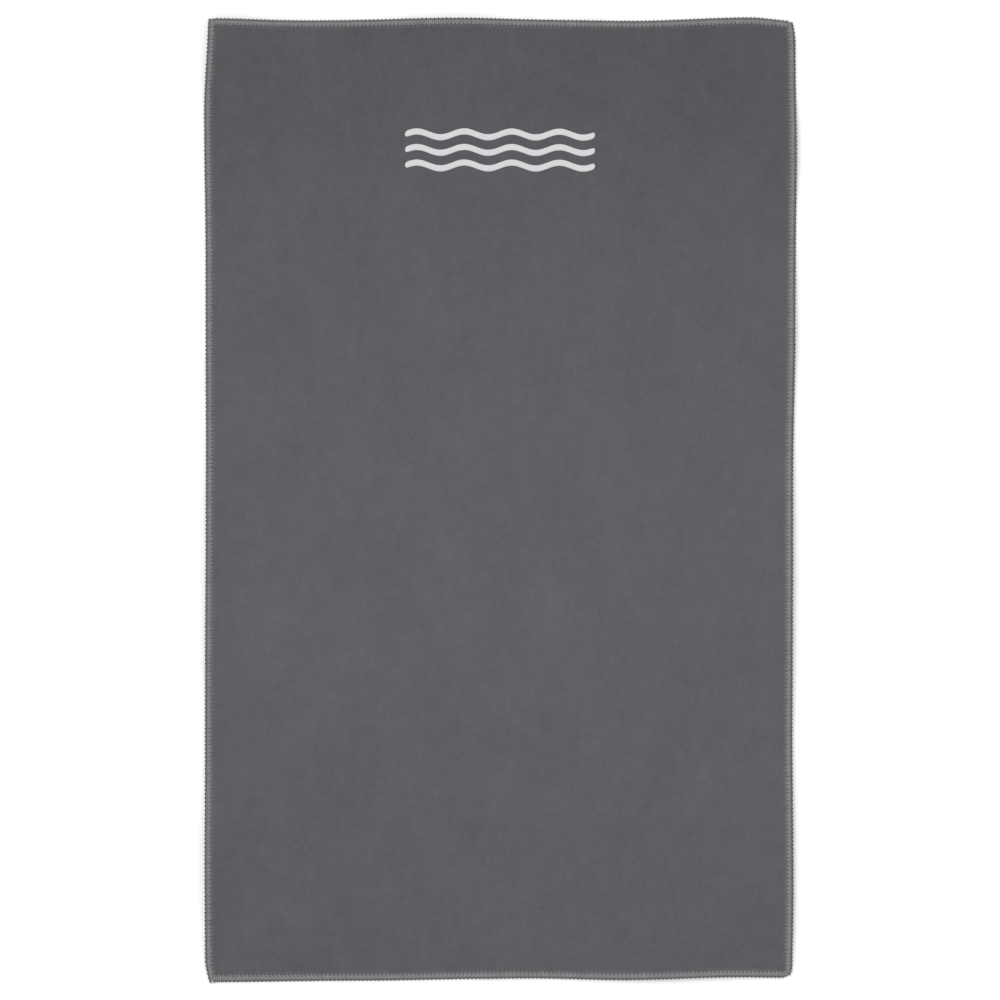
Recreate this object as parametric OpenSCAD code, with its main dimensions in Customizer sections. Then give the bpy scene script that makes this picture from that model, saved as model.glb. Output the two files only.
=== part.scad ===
// Quick dry towel of suede microfibre, lying flat and face up.
// X runs across the towel, Y along it towards the printed end, Z up.
// The origin is under the middle of the towel, on the surface that it lies on.

/* [Towel] */
// Finished width, over the threads on the side edges
towel_w = 304; // [200:1:700]
// Finished length, over the threads on the end edges
towel_l = 496; // [300:1:1400]
// Thickness of the brushed cloth
cloth_t = 0.9; // [0.7:0.05:1.6]

/* [Overlock seams] */
// Distance from one stitch to the next along an edge
stitch_pitch = 2.1; // [1.6:0.05:3.5]
// Distance from the finished edge in to the needle line
needle_inset = 3.2; // [2.4:0.1:6]
// Width of the needle thread's line of stitches
needle_thread_w = 0.4; // [0.2:0.05:0.8]
// Thickness of every thread, pulled flat against the cloth
thread_t = 0.2; // [0.1:0.01:0.3]
// Gap between the looper threads of one stitch and those of the next
crossing_gap = 0.5; // [0.2:0.05:1.2]
// How far the looper threads lean along the seam on their way across it
crossing_lean = 0.7; // [0:0.05:1.5]

/* [Print] */
// Width of the printed motif
print_w = 98; // [40:1:160]
// Distance from the towel's top edge to the motif's first wave line
print_top = 56.5; // [20:0.5:120]
// Distance from one wave line to the next
wave_spacing = 8; // [5:0.5:20]
// Number of wave lines
wave_count = 3; // [1:1:5]
// Height of the waves, from trough to crest along their centre line
wave_h = 3; // [0:0.25:4]
// Length of one wave
wave_len = 24.5; // [10:0.5:60]
// Width of a printed line
line_w = 3.2; // [1:0.1:4.5]
// Thickness of the ink film
ink_t = 0.05; // [0.02:0.01:0.1]

/* [Hidden] */

cloth_color = [0.37, 0.38, 0.39];
thread_color = [0.47, 0.47, 0.49];
ink_color = [0.86, 0.86, 0.87];

// The cloth ends where the edge threads begin
panel_w = towel_w - 2 * thread_t;
panel_l = towel_l - 2 * thread_t;
// Strip along each edge that the seam takes up
seam_w = needle_inset + needle_thread_w / 2;
// An end seam's stitches run between the side seams, and a side seam's between the end seams' edge lines
end_run = towel_w - 2 * seam_w;
wave_step = 15; // degrees of a wave from one point to the next

function is_side(side) = side == "left" || side == "right";
function edge_turn(side) = side == "bottom" ? 0 : side == "right" ? 90 : side == "top" ? 180 : 270;
function edge_reach(side) = (is_side(side) ? towel_w : towel_l) / 2;
function edge_length(side) = is_side(side) ? towel_l : panel_w;
function stitch_run(side) = is_side(side) ? panel_l : end_run;

// Seams are drawn along +X with the cloth on their +Y side, then turned to their edge of the towel
module on_edge(side) {
    rotate([0, 0, edge_turn(side)]) translate([0, -edge_reach(side), 0]) children();
}

// A looper thread in plan: the line along the edge, and the crossing to the needle line at every stitch
function looper_outline(side, tip, lean) =
    let (run = stitch_run(side) - abs(lean),
         count = round(run / stitch_pitch),
         pitch = run / count,
         half = (pitch - crossing_gap) / 2,
         end = edge_length(side) / 2)
    concat(
        [[-end, thread_t], [-end, 0], [end, 0], [end, thread_t]],
        [for (i = [count - 1:-1:0])
            let (middle = (i + 0.5) * pitch - run / 2)
            each [[middle - lean / 2 + half, thread_t], [middle + lean / 2 + half, tip],
                  [middle + lean / 2 - half, tip], [middle - lean / 2 - half, thread_t]]]);

// The edge line reaches from the face of the cloth halfway down its edge
module looper_thread(side, tip, lean) {
    on_edge(side) {
        translate([0, 0, cloth_t - thread_t]) linear_extrude(thread_t)
            polygon(looper_outline(side, tip, lean));
        translate([-edge_length(side) / 2, 0, cloth_t / 2])
            cube([edge_length(side), thread_t, cloth_t / 2 - thread_t]);
    }
}

// Full thickness inside the seams, squeezed by two threads' thickness under them
module towel_panel() {
    color(cloth_color) union() {
        translate([-towel_w / 2 + seam_w, -towel_l / 2 + seam_w, 0])
            cube([towel_w - 2 * seam_w, towel_l - 2 * seam_w, cloth_t]);
        translate([-panel_w / 2, -panel_l / 2, thread_t])
            cube([panel_w, panel_l, cloth_t - 2 * thread_t]);
    }
}

// The straight row of stitches on the face, at the inner side of the seam
module needle_thread(side) {
    color(thread_color) on_edge(side)
        translate([-stitch_run(side) / 2, seam_w - needle_thread_w, cloth_t - thread_t])
            cube([stitch_run(side), needle_thread_w, thread_t]);
}

// Crosses the face of the seam from the edge to the needle thread
module upper_looper_thread(side) {
    color(thread_color) looper_thread(side, seam_w - needle_thread_w, crossing_lean);
}

// The same on the underside, where its crossings reach under the needle line
module lower_looper_thread(side) {
    color(thread_color) translate([0, 0, cloth_t]) mirror([0, 0, 1])
        looper_thread(side, seam_w, -crossing_lean);
}

// One printed line that waves along X
function wave_outline() =
    let (steps = round(print_w / wave_len * 360 / wave_step),
         crest = function (i) wave_h / 2 * sin(360 * (i / steps - 0.5) * print_w / wave_len),
         along = function (i) (i / steps - 0.5) * print_w)
    concat(
        [for (i = [0:steps]) [along(i), crest(i) - line_w / 2]],
        [for (i = [steps:-1:0]) [along(i), crest(i) + line_w / 2]]);

// A stack of wave lines in ink on the face of the cloth
module printed_motif() {
    color(ink_color)
        for (i = [0:wave_count - 1])
            translate([0, towel_l / 2 - print_top - (wave_h + line_w) / 2 - i * wave_spacing, cloth_t])
                linear_extrude(ink_t) polygon(wave_outline());
}

towel_panel();
printed_motif();
for (side = ["left", "right", "top", "bottom"]) {
    needle_thread(side);
    upper_looper_thread(side);
    lower_looper_thread(side);
}
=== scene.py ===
# Quick dry towel of suede microfibre, laid flat with its printed face up.
# Everything is in metres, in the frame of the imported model: X across, Y to the printed end, Z up.
import math
import random

import bpy
import numpy as np
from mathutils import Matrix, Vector, noise


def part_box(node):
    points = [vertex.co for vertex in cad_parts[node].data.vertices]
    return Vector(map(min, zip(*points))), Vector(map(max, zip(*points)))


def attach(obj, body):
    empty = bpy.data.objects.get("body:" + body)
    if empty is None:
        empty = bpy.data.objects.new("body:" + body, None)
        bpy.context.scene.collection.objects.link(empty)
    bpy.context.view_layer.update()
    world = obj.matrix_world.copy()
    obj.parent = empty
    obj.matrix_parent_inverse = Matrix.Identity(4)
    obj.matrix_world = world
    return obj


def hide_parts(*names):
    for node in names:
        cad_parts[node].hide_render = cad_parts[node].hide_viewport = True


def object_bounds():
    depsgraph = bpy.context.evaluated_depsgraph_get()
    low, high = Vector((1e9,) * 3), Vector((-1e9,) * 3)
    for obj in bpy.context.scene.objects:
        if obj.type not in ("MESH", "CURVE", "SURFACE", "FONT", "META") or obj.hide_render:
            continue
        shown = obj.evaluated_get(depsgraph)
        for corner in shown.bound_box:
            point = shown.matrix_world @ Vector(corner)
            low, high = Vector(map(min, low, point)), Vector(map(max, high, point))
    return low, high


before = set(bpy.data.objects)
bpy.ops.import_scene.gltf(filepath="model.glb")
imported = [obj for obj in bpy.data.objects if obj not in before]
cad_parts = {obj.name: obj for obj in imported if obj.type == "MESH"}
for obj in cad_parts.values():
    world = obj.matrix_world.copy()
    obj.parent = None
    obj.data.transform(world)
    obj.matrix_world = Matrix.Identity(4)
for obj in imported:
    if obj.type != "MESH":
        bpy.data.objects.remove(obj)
cadBox = [list(corner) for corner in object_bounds()]
mm = 0.001
halfWidth, halfLength = cadBox[1][0], cadBox[1][1]
sides = ["left", "right", "top", "bottom"]
print("towel is", round(2000 * halfWidth), "by", round(2000 * halfLength), "mm")

cloth = {
    "thick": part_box("towel_panel")[1].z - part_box("towel_panel")[0].z,
    "gridStep": 2.15 * mm,
    "slopeStep": 0.5 * mm,  # the laid sheet's slope is taken over this distance
    "edgeRows": [0, 0.12, 0.4, 1.0, 1.7, 2.4, 3.0, 3.5, 4.1, 5.0, 6.3, 8.0],  # mm in from the cut edge
    "hemLift": 0.22 * mm,  # the threads under the hem hold it off the floor
    "hemFade": (3 * mm, 7 * mm),  # where that lift fades out
    "roundFade": (-0.1 * mm, 0.5 * mm),  # where the cut edge rounds up to the seam's thickness
    "edgeShare": 0.3,  # the least that the edge thins to, as a share of the seam's thickness
    "riseFade": (-0.2 * mm, 3 * mm),  # where the nap rises to full thickness, from the needle line
    "grooveDepth": 0.03 * mm,
    "grooveReach": 0.6 * mm,
    "wanderReach": 40 * mm,  # how far in from an edge its wander can be felt
    "cornerReach": 3.2 * mm,
}

# The cloth doesn't lie quite straight: how far an edge bows outwards in mm, at shares of its half length
edgeWander = {
    "left": [(-1, -1.25), (-0.95, 0.25), (-0.5, 0.25), (0, -0.25), (0.5, 0), (0.8, 0.75), (1, -1.5)],
    "right": [(-1, -1.25), (-0.8, -0.75), (-0.5, -1.25), (0, -1), (0.35, 0.25), (0.7, 1), (0.95, 0.5),
              (1, -0.5)],
    "top": [(-1, 0.25), (-0.65, -0.5), (-0.15, 0.5), (0.45, -0.75), (0.85, 1), (1, -0.75)],
    "bottom": [(-1, 0.75), (-0.5, 0), (0.1, -1.25), (0.4, -0.5), (0.8, -2), (1, -1.5)],
}
# Small pull at each corner in mm, as (x, y)
cornerPull = {(-1, 1): (0.25, -0.25), (1, 1): (-0.25, -0.75), (-1, -1): (0.5, 0), (1, -1): (-1, 1.25)}

laidSheet = {
    "columns": 62,
    "rows": 100,
    "scale": 10,  # simulated ten times life size, where the cloth solver is steady
    "waveHeight": 3 * mm,
    "waveLength": 120 * mm,
    "waveStart": (0, 0, 3.7),  # another start gives other waves
    "fineWave": 0.5,
    "fineScale": 2.1,
    "fineStart": (5, 2, 1),
    "hemWave": 1.0,
    "hemReach": 25 * mm,
    "frames": 20,
    "clearance": 0.4 * mm,
    "friction": 80,
    "tableDamping": 0.5,
    "gravity": 0.05,
    "flatPercent": 30,  # this much of the sheet lies flat on the floor
}
limpCloth = {
    "quality": 10, "mass": 0.3, "air_damping": 5, "tension_damping": 15, "compression_damping": 15,
    "shear_damping": 15, "bending_damping": 1, "tension_stiffness": 15, "compression_stiffness": 15,
    "shear_stiffness": 8, "bending_stiffness": 0.5,
}


def laySheet():
    # A wavy sheet drops on the floor and sags flat, except for low waves near its hem
    scale = laidSheet["scale"]
    bpy.ops.object.select_all(action="DESELECT")
    bpy.ops.mesh.primitive_grid_add(
        x_subdivisions=laidSheet["columns"] - 1, y_subdivisions=laidSheet["rows"] - 1, size=2)
    sheet = bpy.context.object
    places = np.array([vertex.co for vertex in sheet.data.vertices])
    places *= (halfWidth * scale, halfLength * scale, 1)
    for place in places:
        spot = Vector((place[0], place[1], 0)) / (laidSheet["waveLength"] * scale)
        spot += Vector(laidSheet["waveStart"])
        fineSpot = spot * laidSheet["fineScale"] + Vector(laidSheet["fineStart"])
        wave = noise.noise(spot) + laidSheet["fineWave"] * noise.noise(fineSpot)
        inset = min(halfWidth * scale - abs(place[0]), halfLength * scale - abs(place[1]))
        nearHem = 1 + laidSheet["hemWave"] * math.exp(-inset / (laidSheet["hemReach"] * scale))
        place[2] = laidSheet["waveHeight"] * scale * (1 + wave) * nearHem
    sheet.data.vertices.foreach_set("co", places.ravel())

    bpy.ops.mesh.primitive_plane_add(size=8 * halfLength * scale)
    table = bpy.context.object
    bpy.ops.object.modifier_add(type="COLLISION")
    table.collision.thickness_outer = laidSheet["clearance"] * scale
    table.collision.cloth_friction = laidSheet["friction"]
    table.collision.damping = laidSheet["tableDamping"]

    bpy.context.view_layer.objects.active = sheet
    bpy.ops.object.modifier_add(type="CLOTH")
    solver = sheet.modifiers["Cloth"]
    solver.point_cache.frame_end = laidSheet["frames"]
    solver.collision_settings.distance_min = laidSheet["clearance"] * scale
    for name, value in limpCloth.items():
        setattr(solver.settings, name, value)
    solver.settings.effector_weights.gravity = laidSheet["gravity"]
    for step in range(1, laidSheet["frames"] + 1):
        bpy.context.scene.frame_set(step)
    bpy.ops.object.modifier_apply(modifier="Cloth")
    heights = np.array([vertex.co.z for vertex in sheet.data.vertices]) / scale
    bpy.context.scene.frame_set(1)
    bpy.data.objects.remove(table)
    bpy.data.objects.remove(sheet)
    heights -= np.percentile(heights, laidSheet["flatPercent"])
    print("sheet laid, highest wave", round(heights.max() / mm, 2), "mm")
    return heights.clip(0).reshape(laidSheet["rows"], laidSheet["columns"])


sheetHeights = laySheet()


def splineWeights(t):
    near = (3 * t ** 3 - 6 * t ** 2 + 4) / 6
    following = (3 * (t + t ** 2 - t ** 3) + 1) / 6
    return [(1 - t) ** 3 / 6, near, following, t ** 3 / 6]


def heightAt(x, y):
    # Cubic B-spline through the laid sheet's heights
    rows, columns = sheetHeights.shape
    u = ((x / halfWidth + 1) / 2 * (columns - 1)).clip(0, columns - 1.001)
    v = ((y / halfLength + 1) / 2 * (rows - 1)).clip(0, rows - 1.001)
    column, row = u.astype(int), v.astype(int)
    across, along = splineWeights(u - column), splineWeights(v - row)
    total = 0
    for j in range(4):
        for i in range(4):
            total = total + along[j] * across[i] * sheetHeights[
                (row + j - 1).clip(0, rows - 1), (column + i - 1).clip(0, columns - 1)]
    return total


def wander(side, place):
    # Smooth curve through the edge's wander points
    points = np.array(edgeWander[side]) * (halfLength if side in ("left", "right") else halfWidth, mm)
    step = np.interp(place, points[:, 0], np.arange(len(points)))
    first = step.astype(int).clip(0, len(points) - 2)
    t = step - first
    t = t * t * (3 - 2 * t)
    return points[first, 1] * (1 - t) + points[first + 1, 1] * t


def ease(value, start, end):
    t = ((value - start) / (end - start)).clip(0, 1)
    return t * t * (3 - 2 * t)


def edgeInset(x, y):
    return np.minimum(halfWidth - abs(x), halfLength - abs(y))


def warp(x, y):
    # From the cut rectangle to the outline that the towel lies in
    reach = cloth["wanderReach"]
    newX = x + wander("right", y) * np.exp((x - halfWidth) / reach) - wander("left", y) * np.exp(
        -(x + halfWidth) / reach)
    newY = y + wander("top", x) * np.exp((y - halfLength) / reach) - wander("bottom", x) * np.exp(
        -(y + halfLength) / reach)
    for (signX, signY), (pullX, pullY) in cornerPull.items():
        away = np.hypot(x - signX * halfWidth, y - signY * halfLength)
        near = np.exp(-((away / cloth["cornerReach"]) ** 2))
        newX = newX + pullX * mm * near
        newY = newY + pullY * mm * near
    return newX, newY


def lay(points):
    # Flat cloth space (x, y, height off the cloth's middle) to its place on the floor
    x, y, up = points[:, 0], points[:, 1], points[:, 2]
    newX, newY = warp(x, y)
    step = cloth["slopeStep"]
    slopeX = (heightAt(newX + step, newY) - heightAt(newX - step, newY)) / (2 * step)
    slopeY = (heightAt(newX, newY + step) - heightAt(newX, newY - step)) / (2 * step)
    length = np.sqrt(1 + slopeX ** 2 + slopeY ** 2)
    hem = 1 - ease(edgeInset(x, y), *cloth["hemFade"])
    middle = cloth["thick"] / 2 + heightAt(newX, newY) + cloth["hemLift"] * hem
    return np.stack([newX - up * slopeX / length, newY - up * slopeY / length, middle + up / length], axis=1)


def activate(piece):
    bpy.ops.object.select_all(action="DESELECT")
    piece.select_set(True)
    bpy.context.view_layer.objects.active = piece


def placesOf(piece):
    places = np.empty(3 * len(piece.data.vertices))
    piece.data.vertices.foreach_get("co", places)
    return places.reshape(-1, 3)


def setPlaces(piece, places):
    piece.data.vertices.foreach_set("co", places.ravel())
    piece.data.update()


def setAttribute(piece, name, values, kind="FLOAT"):
    attribute = piece.data.attributes.new(name, kind, "POINT")
    attribute.data.foreach_set("value" if kind == "FLOAT" else "vector", np.ravel(values).astype(np.float32))


def smoothShade(piece):
    activate(piece)
    bpy.ops.object.shade_smooth()


def gridLines(half):
    rows = np.array(cloth["edgeRows"]) * mm
    half = half - seam["edgeCover"]
    inner = half - rows[-1]
    count = round(2 * inner / cloth["gridStep"])
    middle = np.linspace(-inner, inner, count + 1)
    return np.concatenate([-half + rows[:-1], middle, half - rows[:-1][::-1]])


def halfThickness(inset):
    # Profile from the cut edge, through the squeezed seam, to the full nap
    inset = inset - seam["edgeCover"]
    line, hem, edgeShare = seam["needleInset"], seam["clothThick"] / 2, cloth["edgeShare"]
    rim = np.sqrt(ease(inset, *cloth["roundFade"]))
    rise = ease(inset, line + cloth["riseFade"][0], line + cloth["riseFade"][1])
    groove = cloth["grooveDepth"] * np.exp(-(((inset - line) / cloth["grooveReach"]) ** 2))
    return (hem + (cloth["thick"] / 2 - hem) * rise - groove) * (edgeShare + (1 - edgeShare) * rim)


# Soft lighter and darker marks, darker at both ends and lighter across the middle: place and half size
# as shares of the half width and half length, and how much lighter (+) or darker (-)
toneMarks = [
    (0, 1, 3, 0.4, -0.14), (0.75, 0.85, 0.3, 0.2, -0.05), (0.25, 0.85, 0.1, 0.1, -0.03),
    (0.45, 0.4, 0.05, 0.2, -0.03), (-0.7, 0.45, 0.05, 0.15, -0.03), (-0.8, 0.2, 0.15, 0.1, 0.03),
    (0, -0.1, 1.5, 0.35, 0.04), (-0.7, -0.25, 0.25, 0.12, 0.04), (0.15, -0.2, 0.2, 0.1, 0.04),
    (0.8, -0.7, 0.15, 0.1, 0.03), (0, -1, 3, 0.2, -0.05), (-0.8, -0.75, 0.4, 0.2, -0.03),
]
napClouds = {
    "wide": 26 * mm,
    "long": 34 * mm,
    "tone": 0.05,
    "fineTone": 0.02,
    "fineScale": 2.7,  # the fine clouds are this many times smaller
}


def napTone(x, y):
    tone = np.zeros(len(x))
    for markX, markY, wide, long, strength in toneMarks:
        tone += strength * np.exp(
            -(((x / halfWidth - markX) / wide) ** 2) - ((y / halfLength - markY) / long) ** 2)
    for k in range(len(x)):
        spot = Vector((x[k] / napClouds["wide"], y[k] / napClouds["long"], 0.5))
        tone[k] += napClouds["tone"] * noise.noise(spot)
        tone[k] += napClouds["fineTone"] * noise.noise(spot * napClouds["fineScale"])
    return tone


def buildCloth():
    linesX, linesY = gridLines(halfWidth), gridLines(halfLength)
    bpy.ops.object.select_all(action="DESELECT")
    bpy.ops.mesh.primitive_grid_add(x_subdivisions=len(linesX) - 1, y_subdivisions=len(linesY) - 1, size=2)
    piece = bpy.context.object
    piece.name = "suede_cloth"
    places = placesOf(piece)
    column = ((places[:, 0] + 1) / 2 * (len(linesX) - 1)).round().astype(int)
    row = ((places[:, 1] + 1) / 2 * (len(linesY) - 1)).round().astype(int)
    setPlaces(piece, np.stack([linesX[column], linesY[row], np.zeros(len(places))], axis=1))
    bpy.ops.object.modifier_add(type="SOLIDIFY")
    piece.modifiers["Solidify"].thickness = cloth["thick"]
    piece.modifiers["Solidify"].offset = 0
    bpy.ops.object.modifier_apply(modifier="Solidify")
    flat = placesOf(piece)
    face = np.sign(flat[:, 2])
    flat[:, 2] = face * halfThickness(edgeInset(flat[:, 0], flat[:, 1]))
    setAttribute(piece, "flatPlace", np.stack([flat[:, 0], flat[:, 1], face], axis=1), "FLOAT_VECTOR")
    setAttribute(piece, "napTone", napTone(flat[:, 0], flat[:, 1]))
    setPlaces(piece, lay(flat))
    smoothShade(piece)
    print("cloth", len(piece.data.polygons), "faces")
    return piece


seam = {
    "needleInset": sum(corner.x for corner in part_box("left_needle_thread")) / 2 + halfWidth,
    "stitchPitch": 2.1 * mm,
    "clothThick": 0.55 * mm,  # the cloth is squeezed by the stitches
    "edgeCover": 0.4 * mm,  # cut edge of the cloth to the outside of the threads
    "sideStop": 0.5 * mm,  # a side seam ends this far inside the end edges
    "lean": 0.35 * mm,  # loopers cross the edge at a slant
    "looperWidth": 1.04 * mm,
    "looperFlat": 0.34,  # height of a looper thread as a share of its width
    "looperTip": 0.5 * mm,  # a loop's end past the needle line
    "needleWidth": 0.42 * mm,
    "needleFlat": 0.9,
    "slip": 0.07 * mm,  # spread of the stitches' slips, in from the edge
    "slipAlong": 0.6,  # and along it, as a share of that
    "tailStep": 0.45 * mm,  # the chain's cut end runs on in such steps at the bottom left corner
    "tailInsets": (0.9 * mm, 1.6 * mm),
    "tailWidth": 0.3,
    "weld": 0.001 * mm,
}


def onEdge(side, path):
    # Seam space (along the edge, in from it, up) to flat cloth space
    along, inset, up = path[:, 0], path[:, 1], path[:, 2]
    if side == "bottom":
        return np.stack([along, inset - halfLength, up], axis=1)
    if side == "top":
        return np.stack([-along, halfLength - inset, up], axis=1)
    if side == "right":
        return np.stack([halfWidth - inset, along, up], axis=1)
    return np.stack([inset - halfWidth, -along, up], axis=1)


def stitchRun(side):
    # Start of a seam, its exact stitch length and its number of stitches
    if side in ("left", "right"):
        half = halfLength - seam["sideStop"]
    else:
        half = halfWidth - seam["needleInset"]
    count = round(2 * half / seam["stitchPitch"])
    return -half, 2 * half / count, count


def needlePath(pitch):
    # One stitch as (along, inset, up, share of the full width): a small bight under the lower loop, up
    # through the hole, over the upper loops to the next hole and down
    hem, line = seam["clothThick"] / 2, seam["needleInset"]
    half = [(0.05, line, -hem - 0.3 * mm, 0.4), (0.05, line, 0, 0.45), (0.05, line, hem + 0.2 * mm, 0.5),
            (0.11, line, hem + 0.4 * mm, 0.7), (0.22, line, hem + 0.42 * mm, 1)]
    path = [(0, line + 0.8 * mm, -hem - 0.22 * mm, 0.4)] + half + [(0.5, line, hem + 0.2 * mm, 1)]
    path += [(1 - share, inset, up, width) for share, inset, up, width in reversed(half)]
    return [(share * pitch, inset, up, width) for share, inset, up, width in path]


# How the upper looper hooks the lower one, as (along, inset, up) in mm about the middle of the lock, and the
# share of its full width that the tight thread has there
lockHook = [(-0.39, 0.36, 0.24, 0.25), (-0.39, 0.12, 0, 0.15), (-0.15, 0.07, -0.17, 0.15),
            (0.09, 0.2, -0.1, 0.15), (0.09, 0.37, 0.12, 0.15), (0.09, 0.36, 0.28, 0.25)]


def looperPath(pitch, face):
    # One loop as (along, inset, up, share of the full width), on the upper (1) or lower (-1) face: hooked
    # round the other looper at the rim, in over the cloth, round the needle's legs and back
    rise = seam["looperWidth"] * seam["looperFlat"] / 2
    hem, line, lean = seam["clothThick"] / 2, seam["needleInset"], seam["lean"]
    tip = line + seam["looperTip"]
    # The two strands of a stitch lie side by side with hardly a gap
    half = [(0.2, line, 0.46), (0.23, line - 0.6 * mm, 0.9), (0.25, line - 1.3 * mm, 1), (0.26, 1.2 * mm, 1),
            (0.3, 0.8 * mm, 0.95), (0.36, 0.55 * mm, 0.58)]
    path = []
    for along, inset, up, width in lockHook[::face]:  # the lower looper's hook runs the other way
        path.append((lean - pitch / 2 + face * along * mm, inset * mm, up * mm, width))
    inward = [(-share, inset, width) for share, inset, width in reversed(half)]
    for share, inset, width in inward + [(0, tip, 0.38)] + half:
        path.append((share * pitch + lean * (1 - inset / tip), inset, hem + width * rise, width))
    return [(along, inset, up * face, width) for along, inset, up, width in path]


def buildThread(side, name, unit, width, flatness, slips):
    # One continuous thread: the stitch's path, repeated along the edge with small slips
    low, pitch = stitchRun(side)[:2]
    path = []
    for k, (slipAlong, slipInset) in enumerate(slips):
        for along, inset, up, share in unit:
            reach = inset / seam["needleInset"]
            path.append((low + (k + 0.5) * pitch + along + slipAlong, inset + slipInset * reach, up, share))
    if side == "left" and name.endswith("loops"):
        # the chain runs on at the corner and curls in
        for inset in seam["tailInsets"]:
            path.append((path[-1][0] + seam["tailStep"], inset, unit[0][2], seam["tailWidth"]))
    path = np.array(path[1:])
    bpy.ops.object.select_all(action="DESELECT")
    bpy.ops.curve.primitive_nurbs_path_add()
    piece = bpy.context.object
    piece.name = name
    curve = piece.data
    curve.resolution_u = 2
    curve.bevel_depth = width / 2
    curve.bevel_resolution = 1
    curve.use_fill_caps = True
    spline = curve.splines[0]
    spline.points.add(len(path) - len(spline.points))
    stretched = path[:, :3] / (1, 1, flatness)
    spline.points.foreach_set("co", np.c_[stretched, np.ones(len(path))].ravel())
    spline.points.foreach_set("radius", path[:, 3])
    spline.order_u = 3
    spline.use_endpoint_u = True
    bpy.ops.object.convert(target="MESH")
    piece = bpy.context.object
    bpy.ops.object.mode_set(mode="EDIT")
    bpy.ops.mesh.select_all(action="SELECT")
    bpy.ops.mesh.remove_doubles(threshold=seam["weld"])  # welds the end caps on
    bpy.ops.mesh.normals_make_consistent(inside=False)
    bpy.ops.object.mode_set(mode="OBJECT")
    tube = placesOf(piece) * (1, 1, flatness)
    tube[:, 1] = np.maximum(tube[:, 1], 0)
    setAttribute(piece, "seamPlace", tube, "FLOAT_VECTOR")
    setAttribute(piece, "stitchShare", (tube[:, 0] - low) / pitch)
    setPlaces(piece, lay(onEdge(side, tube)))
    smoothShade(piece)
    return piece


def buildSeam(side):
    pitch, count = stitchRun(side)[1:]
    dice = random.Random(side)
    # A stitch slips as a whole, so its three threads keep their places about each other
    slips = []
    for k in range(count):
        slipAlong = dice.gauss(0, seam["slipAlong"]) * seam["slip"]
        slips.append((slipAlong, dice.gauss(0, 1) * seam["slip"]))
    needle, looper = (seam["needleWidth"], seam["needleFlat"]), (seam["looperWidth"], seam["looperFlat"])
    threads = [
        buildThread(side, side + "_needle_stitches", needlePath(pitch), *needle, slips),
        buildThread(side, side + "_upper_loops", looperPath(pitch, 1), *looper, slips),
        buildThread(side, side + "_lower_loops", looperPath(pitch, -1), *looper, slips),
    ]
    print(side, "seam", count, "stitches,", sum(len(thread.data.polygons) for thread in threads), "faces")
    return dict(zip(["needle_thread", "upper_looper_thread", "lower_looper_thread"], threads))


motif = {
    "waves": 4,
    "waveHeight": 3 * mm,
    "lineWidth": 3.2 * mm,
    "lines": 3,
    "film": 0.07 * mm,
    "sunk": 0.3,  # the film's middle is this share of its thickness above the cloth
    "columns": 192,
    "rows": 5,
    "endTaper": 0.02,  # narrowest share of a line's width, at its rounded end
}


def buildMotif():
    low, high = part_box("printed_motif")
    lines = []
    spacing = (high.y - low.y - motif["waveHeight"] - motif["lineWidth"]) / (motif["lines"] - 1)
    for k in range(motif["lines"]):
        bpy.ops.object.select_all(action="DESELECT")
        bpy.ops.mesh.primitive_grid_add(x_subdivisions=motif["columns"], y_subdivisions=motif["rows"], size=2)
        line = bpy.context.object
        places = placesOf(line)
        across, up = places[:, 0], places[:, 1]
        fromEnd = (1 - abs(across)) * (high.x - low.x) / motif["lineWidth"]
        taper = np.sqrt((1 - (1 - fromEnd.clip(0, 1)) ** 2).clip(motif["endTaper"] ** 2))
        x = (low.x + high.x) / 2 + across * (high.x - low.x) / 2
        crest = motif["waveHeight"] / 2 * np.sin(math.pi * motif["waves"] * across)
        middle = high.y - (motif["waveHeight"] + motif["lineWidth"]) / 2 - k * spacing
        y = middle + crest + up * motif["lineWidth"] / 2 * taper
        setPlaces(line, np.stack([x, y, np.zeros(len(x))], axis=1))
        lines.append(line)
    activate(lines[0])
    for line in lines:
        line.select_set(True)
    bpy.ops.object.join()
    piece = bpy.context.object
    piece.name = "wave_print"
    bpy.ops.object.modifier_add(type="SOLIDIFY")
    piece.modifiers["Solidify"].thickness = motif["film"]
    piece.modifiers["Solidify"].offset = 0
    bpy.ops.object.modifier_apply(modifier="Solidify")
    flat = placesOf(piece)
    setAttribute(piece, "flatPlace", flat, "FLOAT_VECTOR")
    flat[:, 2] += cloth["thick"] / 2 + motif["film"] * motif["sunk"]
    setPlaces(piece, lay(flat))
    smoothShade(piece)
    print("motif", len(piece.data.polygons), "faces")
    return piece


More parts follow.
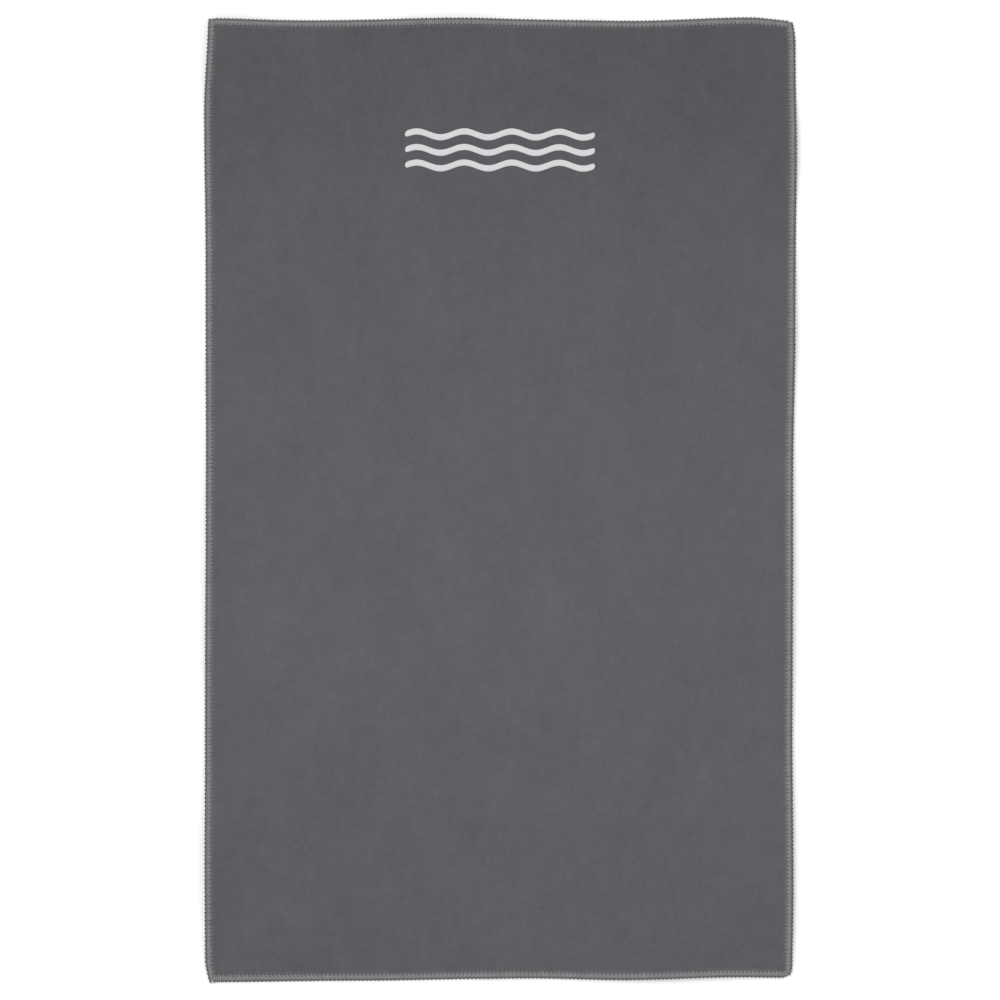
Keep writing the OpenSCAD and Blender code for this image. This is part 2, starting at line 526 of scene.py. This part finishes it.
class Wire:  # a shader socket that plain arithmetic works on
    def __init__(self, tree, socket=None):
        self.tree = tree
        self.socket = socket

    def node(self, kind, settings, inputs, output=0):
        node = self.tree.nodes.new("ShaderNode" + kind)
        for name, value in settings.items():
            setattr(node, name, value)
        for name, value in inputs.items():
            if isinstance(value, Wire):
                self.tree.links.new(value.socket, node.inputs[name])
            else:
                node.inputs[name].default_value = value
        return Wire(self.tree, node.outputs[output])

    def math(self, operation, *values):
        return self.node("Math", {"operation": operation}, dict(enumerate(values)))

    def __add__(self, other):
        return self.math("ADD", self, other)

    def __radd__(self, other):
        return self.math("ADD", other, self)

    def __sub__(self, other):
        return self.math("SUBTRACT", self, other)

    def __rsub__(self, other):
        return self.math("SUBTRACT", other, self)

    def __mul__(self, other):
        return self.math("MULTIPLY", self, other)

    def __rmul__(self, other):
        return self.math("MULTIPLY", other, self)

    def __truediv__(self, other):
        return self.math("DIVIDE", self, other)

    def __abs__(self):
        return self.math("ABSOLUTE", self)

    def part(self, axis):
        return self.node("SeparateXYZ", {}, {0: self}, axis)

    def stretched(self, x, y, z):
        return self.node("VectorMath", {"operation": "MULTIPLY"}, {0: self, 1: (x, y, z)})

    def noise(self, size, detail=2, roughness=0.5):
        # Grain of that size in metres, from 0 to 1 about 0.5
        return self.node("TexNoise", {}, {"Vector": self, "Scale": 1 / size, "Detail": detail,
                                          "Roughness": roughness})

    def ramp(self, start, end, low=0.0, high=1.0):
        return self.node("MapRange", {"interpolation_type": "SMOOTHSTEP"},
                         {0: self, 1: start, 2: end, 3: low, 4: high})

    def shade(self, color):
        # The colour, made lighter or darker by this number
        return self.node("VectorMath", {"operation": "SCALE"}, {0: color, "Scale": self})

    def bump(self, strength, depth):
        return self.node("Bump", {}, {"Strength": strength, "Distance": depth, "Height": self})


def newMaterial(name, constants):
    material = bpy.data.materials.new(name)
    material.use_nodes = True
    shader = material.node_tree.nodes["Principled BSDF"]
    for socket, value in constants.items():
        shader.inputs[socket].default_value = value
    return material, shader, Wire(material.node_tree)


def plug(shader, socket, wire):
    shader.id_data.links.new(wire.socket, shader.inputs[socket])


suede = {
    "color": (0.094, 0.0982, 0.1045),
    "speckle": 0.24,
    "speckleSize": 2.2 * mm,
    "streak": 0.15,
    "streakSize": 5 * mm,
    "cloud": 0.18,
    "cloudSize": 11 * mm,
    "fleck": 0.13,
    "fleckSize": 1.5 * mm,
    "fleckLevel": (0.65, 0.74),
    "fibre": 0.3,
    "fibreSize": 0.28 * mm,
    # Partly thread fluff, partly painted light that offsets the shade where the cloth dips into the seam
    "underThreads": 1.25,  # the cloth between the threads is lighter
    "underThreadsFade": (4.0 * mm, 5.4 * mm),
    # Painted shade: a faint darkening in the groove just inside the needle line, and dark needle holes
    "groove": 0.98,
    "grooveShadeFade": (3.6 * mm, 5.5 * mm),
    "holeRadius": 0.5 * mm,
    "holeFade": (0.4, 1.0),  # in hole radii
    "holeShade": 0.35,
    "relief": (0.7, 0.15 * mm),
}


def needleHoles(wire, along, inset, side):
    # 1 at each hole of a seam, fading to 0 around it
    low, pitch = stitchRun(side)[:2]
    offHole = (0.5 - wire.math("PINGPONG", (along - low) / pitch, 0.5)) * (pitch / suede["holeRadius"])
    offLine = (inset - seam["needleInset"]) / suede["holeRadius"]
    return wire.math("SQRT", offLine * offLine + offHole * offHole).ramp(*suede["holeFade"], 1, 0)


def suedeMaterial():
    material, shader, wire = newMaterial("suede_microfibre", {
        "Roughness": 0.95, "Specular IOR Level": 0.15, "Sheen Weight": 0.12, "Sheen Roughness": 0.5,
        "Sheen Tint": (0.75, 0.77, 0.8, 1)})
    flat = wire.node("Attribute", {"attribute_name": "flatPlace"}, {}, 1)
    tone = wire.node("Attribute", {"attribute_name": "napTone"}, {}, 2)
    x, y = flat.part(0), flat.part(1)
    sideInset, endInset = halfWidth - abs(x), halfLength - abs(y)
    inset = wire.math("MINIMUM", sideInset, endInset)
    sideHoles = needleHoles(wire, y, sideInset, "right")
    endHoles = needleHoles(wire, x, endInset, "top")
    holes = wire.math("MAXIMUM", sideHoles, endHoles)
    speckle = flat.noise(suede["speckleSize"], 3) - 0.5
    streak = flat.stretched(1, 0.3, 1).noise(suede["streakSize"], 3, 0.6) - 0.5
    cloud = flat.noise(suede["cloudSize"], 3, 0.6) - 0.5
    fibre = flat.stretched(1, 0.45, 1).noise(suede["fibreSize"], 3, 0.7) - 0.5
    flecks = flat.stretched(1, 0.5, 1).noise(suede["fleckSize"], 2, 0.6).ramp(*suede["fleckLevel"])
    underThreads = inset.ramp(*suede["underThreadsFade"], suede["underThreads"], 1)
    groove = inset.ramp(*suede["grooveShadeFade"], suede["groove"], 1)
    shade = (1 + tone + suede["speckle"] * speckle + suede["streak"] * streak + suede["cloud"] * cloud
             + suede["fibre"] * fibre - suede["fleck"] * flecks)
    # painted shade in the groove and at the needle holes
    shade = shade * underThreads * groove * (1 - suede["holeShade"] * holes)
    plug(shader, "Base Color", shade.shade(suede["color"]))
    relief = fibre + speckle * 0.5 - holes * 1.5
    plug(shader, "Normal", relief.bump(*suede["relief"]))
    return material


thread = {
    "color": (0.262, 0.262, 0.267),
    "outerShade": 0.42,  # painted shade, darker from the needle line out
    "outerFade": (0.9 * mm, 2.3 * mm),
    "rimShade": 0.4,
    "rimFade": (0.25 * mm, 1.1 * mm),
    "lockShade": 0.42,
    "lockFade": (0.15, 0.4),  # in stitches from the hole
    "dotShade": 0.5,  # painted shade in the gap between two loops at the needle line
    "dotFade": (0.25, 0.45),
    "dotInset": (2.3 * mm, 3.0 * mm),
    "twist": 0.55 * mm,
    "twistTone": 0.1,
    "fluff": 0.5,
    "fluffSize": 0.35 * mm,
    "lot": 0.35,  # slow change of tone along the thread
    "lotSize": 4 * mm,
    "relief": (0.5, 0.06 * mm),
}


def threadMaterial():
    material, shader, wire = newMaterial("overlock_thread", {
        "Roughness": 0.75, "Specular IOR Level": 0.3, "Sheen Weight": 0.15, "Sheen Roughness": 0.4})
    place = wire.node("Attribute", {"attribute_name": "seamPlace"}, {}, 1)
    along, inset = place.part(0), place.part(1)
    twist = wire.math("SINE", (along * 3 + inset) * (2 * math.pi / thread["twist"]))
    fluff = place.noise(thread["fluffSize"], 3, 0.7) - 0.5
    lot = place.stretched(1, 0.2, 1).noise(thread["lotSize"], 2) - 0.5
    # Stitches along the edge, straightened for the loopers' slant
    stitch = wire.node("Attribute", {"attribute_name": "stitchShare"}, {}, 2)
    stitch = stitch - (1 - inset / seam["needleInset"]) * (seam["lean"] / seam["stitchPitch"])
    fromHole = 0.5 - wire.math("PINGPONG", stitch, 0.5)  # 0 at a needle hole, 0.5 at a lock
    # Painted shade: threads darker toward the rim, darkest at the locks there, and over the gaps at the
    # needle line
    atRim = inset.ramp(*thread["rimFade"], 1, 0)
    lock = fromHole.ramp(*thread["lockFade"])
    gap = fromHole.ramp(*thread["dotFade"]) * inset.ramp(*thread["dotInset"])
    rim = (1 - atRim * (thread["rimShade"] + thread["lockShade"] * lock)) * (1 - thread["dotShade"] * gap)
    rim = rim * (1 - thread["outerShade"] * inset.ramp(*thread["outerFade"], 1, 0))
    shade = (1 + thread["twistTone"] * twist + thread["fluff"] * fluff + thread["lot"] * lot) * rim
    plug(shader, "Base Color", shade.shade(thread["color"]))
    plug(shader, "Normal", (twist * 0.5 + fluff).bump(*thread["relief"]))
    return material


ink = {
    "color": (0.6, 0.6, 0.612),
    "grain": 0.12,
    "grainSize": 0.5 * mm,
    "patch": 0.08,
    "patchSize": 3 * mm,
    "relief": (0.5, 0.08 * mm),
}


def inkMaterial():
    material, shader, wire = newMaterial("screen_print_ink", {"Roughness": 0.6, "Specular IOR Level": 0.3})
    flat = wire.node("Attribute", {"attribute_name": "flatPlace"}, {}, 1)
    grain = flat.noise(ink["grainSize"], 3, 0.7) - 0.5
    patch = flat.noise(ink["patchSize"], 2) - 0.5
    shade = 1 + ink["grain"] * grain + ink["patch"] * patch
    plug(shader, "Base Color", shade.shade(ink["color"]))
    plug(shader, "Normal", grain.bump(*ink["relief"]))
    return material


studio = {
    "floorSize": 60,
    "floorDrop": 0.05 * mm,
    "floorColor": (0.96, 0.96, 0.96, 1),
    "domeStrength": 0.8,
    "horizonStrength": 1.0,
    "sunStrength": 1.15,
    "sunAngle": 40,
    "sunTilt": (-22, -24),
    "lens": 100,
    "sensor": 36,
    "framedLengths": 1.04,  # the view is this many towel lengths across
}


def buildStudio():
    bpy.ops.object.select_all(action="DESELECT")
    bpy.ops.mesh.primitive_plane_add(size=studio["floorSize"], location=(0, 0, -studio["floorDrop"]))
    floor = bpy.context.object
    floor.name = "floor"
    paint = {"Roughness": 0.9, "Specular IOR Level": 0.1, "Base Color": studio["floorColor"]}
    floor.data.materials.append(newMaterial("pale_floor", paint)[0])

    world = bpy.data.worlds.new("studio_dome")
    bpy.context.scene.world = world
    world.use_nodes = True
    sky = Wire(world.node_tree)
    up = sky.node("TexCoord", {}, {}, 0).part(2)
    brightness = up.ramp(0.1, 0.5, studio["horizonStrength"], studio["domeStrength"])
    world.node_tree.links.new(brightness.socket, world.node_tree.nodes["Background"].inputs["Strength"])
    world.node_tree.nodes["Background"].inputs["Color"].default_value = (1, 1, 1, 1)

    tiltX, tiltY = studio["sunTilt"]
    bpy.ops.object.light_add(type="SUN", rotation=(math.radians(tiltX), math.radians(tiltY), 0))
    sun = bpy.context.object
    sun.data.energy = studio["sunStrength"]
    sun.data.angle = math.radians(studio["sunAngle"])

    viewWidth = 2 * halfLength * studio["framedLengths"]
    height = viewWidth * studio["lens"] / studio["sensor"]
    bpy.ops.object.camera_add(location=(0, 0, height), rotation=(0, 0, 0))
    camera = bpy.context.object
    camera.data.lens = studio["lens"]
    camera.data.sensor_width = studio["sensor"]
    bpy.context.scene.camera = camera
    bpy.context.scene.view_settings.view_transform = "Standard"
    return floor


floor = buildStudio()
clothPiece = buildCloth()
motifPiece = buildMotif()
seams = {side: buildSeam(side) for side in sides}

clothPiece.data.materials.append(suedeMaterial())
motifPiece.data.materials.append(inkMaterial())
overlock = threadMaterial()

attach(clothPiece, "root")
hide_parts("towel_panel")
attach(motifPiece, "root")
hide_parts("printed_motif")
for side in sides:
    for kind, piece in seams[side].items():
        piece.data.materials.append(overlock)
        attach(piece, "root")
        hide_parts(side + "_" + kind)
